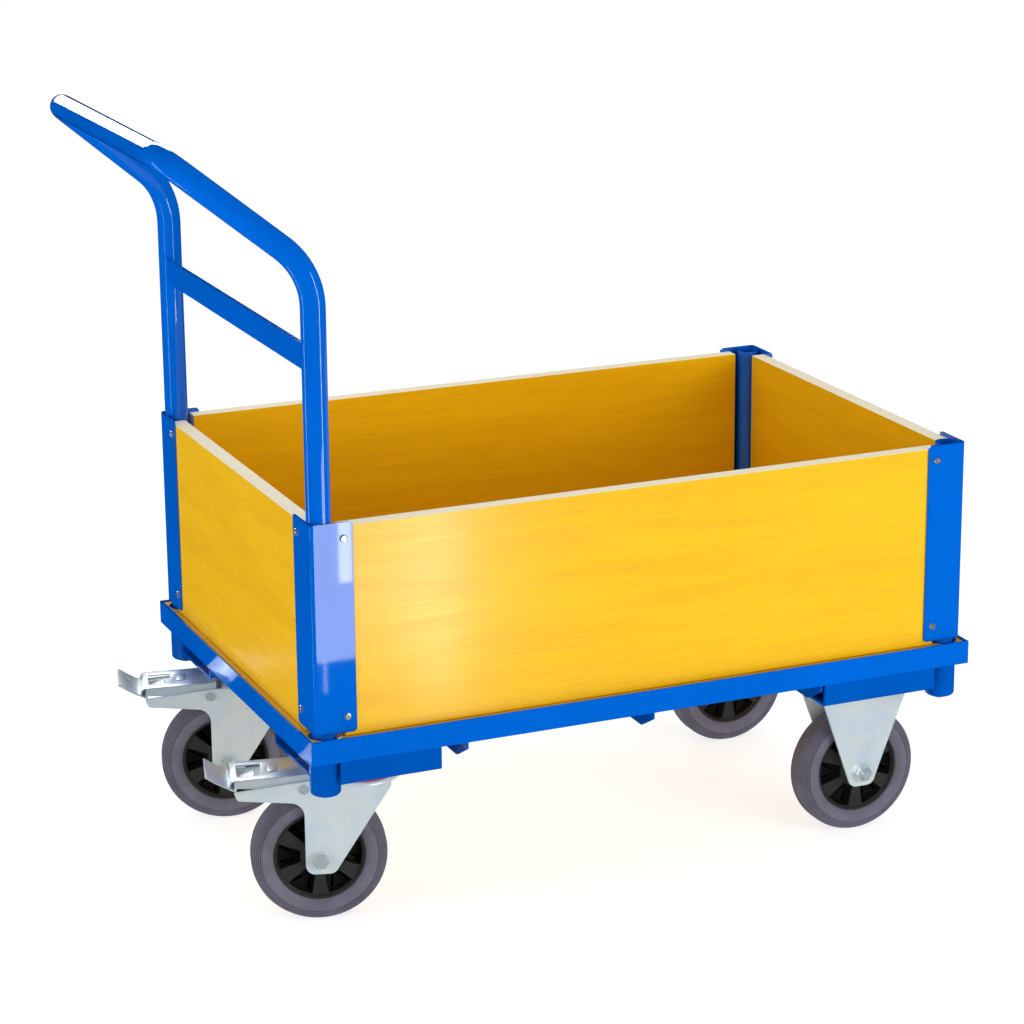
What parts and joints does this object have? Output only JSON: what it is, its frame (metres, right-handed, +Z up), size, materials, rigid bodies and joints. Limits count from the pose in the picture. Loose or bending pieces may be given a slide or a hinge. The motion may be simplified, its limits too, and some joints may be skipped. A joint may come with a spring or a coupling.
{
  "type": "platform trolley",
  "caption": "Platform trolley with board walls on all sides, bent tube push bow, braked swivel castors at the push end and fixed castors at the far end.",
  "frame": {"origin": "on the floor, under the middle of the whole trolley's outline", "axes": "+X along the length, from the push bow to the far end; +Y across, to the back side; +Z up"},
  "size_m": [1.045, 0.6, 0.99],
  "materials": {
    "blue_paint": "glossy powder coat",
    "beech_board": "laminated chipboard with a fine beech grain, satin",
    "deck_board": "laminated chipboard, satin",
    "zinc_sheet": "bright zinc plate with a faint blue and yellow tint",
    "zinc_hardware": "bright zinc plate",
    "screw_zinc": "bright zinc plate",
    "rim_plastic": "moulded black polyamide",
    "bearing_plastic": "moulded grey cage with steel rollers",
    "tyre": "grey elastic rubber",
    "shoe_rubber": "black rubber",
    "seal_red": "red soft plastic"
  },
  "bodies": {
    "trolley_frame": {"back_panel": "beech_board", "back_rail": "blue_paint", "bow_crossbar": "blue_paint", "castor_bolts": "zinc_hardware", "castor_brackets": "blue_paint", "castor_nuts": "zinc_hardware", "corner_sockets": "blue_paint", "cross_members": "blue_paint", "deck_board": "deck_board", "dust_seals": "seal_red", "far_back_corner_cover": "blue_paint", "far_end_panel": "beech_board", "far_end_rail": "blue_paint", "far_front_corner_cover": "blue_paint", "fixed_axle_bolts": "zinc_hardware", "fixed_axle_nuts": "zinc_hardware", "fixed_axle_sleeves": "zinc_hardware", "fixed_back_fork": "zinc_sheet", "fixed_front_fork": "zinc_sheet", "front_panel": "beech_board", "front_rail": "blue_paint", "kingpins": "zinc_hardware", "panel_screws": "screw_zinc", "post_tubes": "blue_paint", "push_back_corner_cover": "blue_paint", "push_bow": "blue_paint", "push_end_panel": "beech_board", "push_end_rail": "blue_paint", "push_front_corner_cover": "blue_paint", "socket_bolts": "zinc_hardware", "swivel_plates": "zinc_sheet"},
    "swivel_front": {"swivel_front_axle_bolt": "zinc_hardware", "swivel_front_axle_nut": "zinc_hardware", "swivel_front_axle_sleeve": "zinc_hardware", "swivel_front_bearing_balls": "zinc_hardware", "swivel_front_fork": "zinc_sheet", "swivel_front_pedal_pin": "zinc_hardware"},
    "pedal_front": {"swivel_front_brake_pedal": "zinc_sheet", "swivel_front_brake_shoe": "shoe_rubber"},
    "swivel_wheel_front": {"swivel_front_rim": "rim_plastic", "swivel_front_tyre": "tyre", "swivel_front_roller_bearing": "bearing_plastic"},
    "fixed_wheel_front": {"fixed_front_rim": "rim_plastic", "fixed_front_tyre": "tyre", "fixed_front_roller_bearing": "bearing_plastic"},
    "swivel_back": {"swivel_back_axle_bolt": "zinc_hardware", "swivel_back_axle_nut": "zinc_hardware", "swivel_back_axle_sleeve": "zinc_hardware", "swivel_back_bearing_balls": "zinc_hardware", "swivel_back_fork": "zinc_sheet", "swivel_back_pedal_pin": "zinc_hardware"},
    "pedal_back": {"swivel_back_brake_pedal": "zinc_sheet", "swivel_back_brake_shoe": "shoe_rubber"},
    "swivel_wheel_back": {"swivel_back_rim": "rim_plastic", "swivel_back_tyre": "tyre", "swivel_back_roller_bearing": "bearing_plastic"},
    "fixed_wheel_back": {"fixed_back_rim": "rim_plastic", "fixed_back_tyre": "tyre", "fixed_back_roller_bearing": "bearing_plastic"}
  },
  "joints": [
    {"name": "swivel_front_turn", "type": "hinge", "parent": "trolley_frame", "child": "swivel_front", "pos_m": [-0.2725, -0.184, 0.205], "axis": [0, 0, 1], "continuous": true},
    {"name": "swivel_front_wheel_spin", "type": "hinge", "parent": "swivel_front", "child": "swivel_wheel_front", "pos_m": [-0.32537, -0.16884, 0.085], "axis": [0.2756, 0.9613, 0], "continuous": true},
    {"name": "brake_pedal_front_press", "type": "hinge", "parent": "swivel_front", "child": "pedal_front", "pos_m": [-0.34267, -0.16388, 0.179], "axis": [-0.2756, -0.9613, 0], "range_deg": [0, 9]},
    {"name": "swivel_back_turn", "type": "hinge", "parent": "trolley_frame", "child": "swivel_back", "pos_m": [-0.2725, 0.184, 0.205], "axis": [0, 0, 1], "continuous": true},
    {"name": "swivel_back_wheel_spin", "type": "hinge", "parent": "swivel_back", "child": "swivel_wheel_back", "pos_m": [-0.32537, 0.19916, 0.085], "axis": [0.2756, 0.9613, 0], "continuous": true},
    {"name": "brake_pedal_back_press", "type": "hinge", "parent": "swivel_back", "child": "pedal_back", "pos_m": [-0.34267, 0.20412, 0.179], "axis": [-0.2756, -0.9613, 0], "range_deg": [0, 9]},
    {"name": "fixed_front_wheel_spin", "type": "hinge", "parent": "trolley_frame", "child": "fixed_wheel_front", "pos_m": [0.4195, -0.184, 0.085], "axis": [0, 1, 0], "continuous": true},
    {"name": "fixed_back_wheel_spin", "type": "hinge", "parent": "trolley_frame", "child": "fixed_wheel_back", "pos_m": [0.4195, 0.184, 0.085], "axis": [0, 1, 0], "continuous": true}
  ]
}
